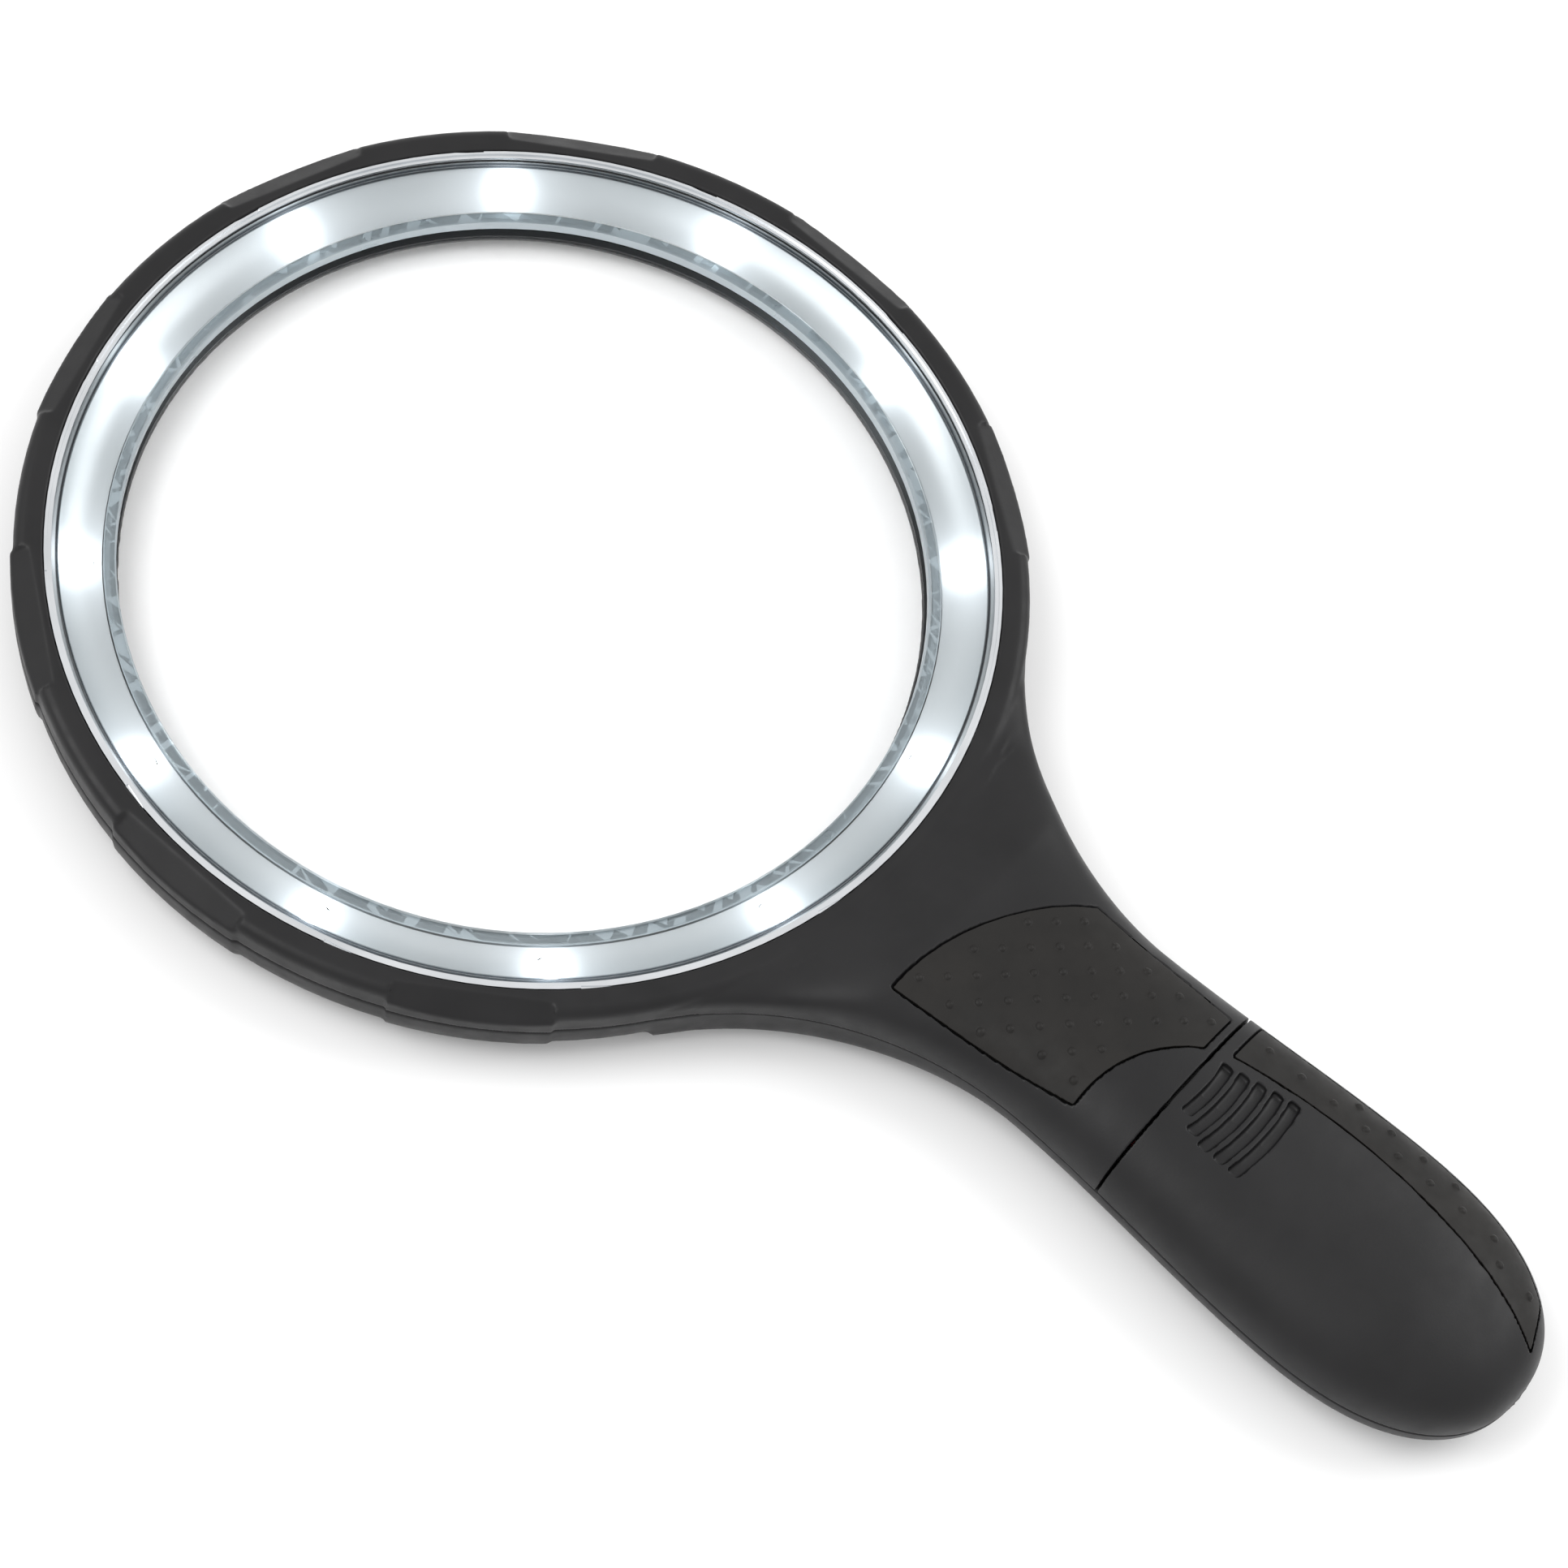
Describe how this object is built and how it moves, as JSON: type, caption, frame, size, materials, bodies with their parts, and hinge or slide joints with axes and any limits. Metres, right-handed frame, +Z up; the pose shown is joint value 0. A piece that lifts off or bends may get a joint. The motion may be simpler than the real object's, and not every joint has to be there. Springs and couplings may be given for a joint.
{
  "type": "low vision magnifier",
  "caption": "Hand-held round magnifier with a ring of lamps round its lens, a plain black handle with ribbed battery door, and a thumb switch behind the neck.",
  "frame": {"origin": "centre of the rest footprint, on the surface that it lies on", "axes": "+Z up, out of the lamp side of the head; +Y from the handle towards the head; +X to the right seen from the lamp side with the head at the top"},
  "size_m": [0.174, 0.3025, 0.023],
  "materials": {
    "shell_plastic": "satin moulded ABS with a fine spark texture",
    "grip_rubber": "matt soft-touch insert",
    "lens_acrylic": "polished clear acrylic",
    "seal_rubber": "matt",
    "clamp_silver": "satin silver",
    "reflector_silver": "bright metallised",
    "clear_cover": "polished clear polycarbonate",
    "trim_silver": "bright metallised",
    "board_white": "solder-resist, white",
    "lamp_epoxy": "clear epoxy dome, lit",
    "resistor_black": "matt",
    "tray_plastic": "matt ABS",
    "cell_jacket": "printed film over steel, no marking",
    "contact_steel": "nickel plated",
    "board_green": "solder-resist, green",
    "switch_steel": "plated",
    "slider_plastic": "acetal",
    "knob_plastic": "matt ABS",
    "wire_red": "PVC jacket",
    "wire_black": "PVC jacket",
    "screw_steel": "zinc plated"
  },
  "bodies": {
    "housing": {"back_shell": "shell_plastic", "front_shell": "shell_plastic", "neck_grip_inlay": "grip_rubber", "magnifier_lens": "lens_acrylic", "lens_gasket": "seal_rubber", "lens_clamp_ring": "clamp_silver", "reflector_ring": "reflector_silver", "lamp_cover_ring": "clear_cover", "trim_ring": "trim_silver", "lamp_board": "board_white", "lamps": "lamp_epoxy", "lamp_resistors": "resistor_black", "battery_tray": "tray_plastic", "cell_left": "cell_jacket", "cell_middle": "cell_jacket", "cell_right": "cell_jacket", "positive_terminal": "contact_steel", "negative_terminal": "contact_steel", "front_bridge_contact": "contact_steel", "rear_bridge_contact": "contact_steel", "contact_springs": "contact_steel", "switch_board": "board_green", "switch_body": "switch_steel", "positive_wire": "wire_red", "lamp_wire": "wire_red", "negative_wire": "wire_black", "shell_screws": "screw_steel", "board_screws": "screw_steel"},
    "door": {"battery_door": "shell_plastic", "door_grip_inlay": "grip_rubber"},
    "switch": {"switch_slider": "slider_plastic", "switch_knob": "knob_plastic"}
  },
  "joints": [
    {"name": "door_slide", "type": "slide", "parent": "housing", "child": "door", "axis": [0, -1, 0], "range_m": [0, 0.078]},
    {"name": "switch_slide", "type": "slide", "parent": "housing", "child": "switch", "axis": [0, -1, 0], "range_m": [0, 0.003]}
  ]
}
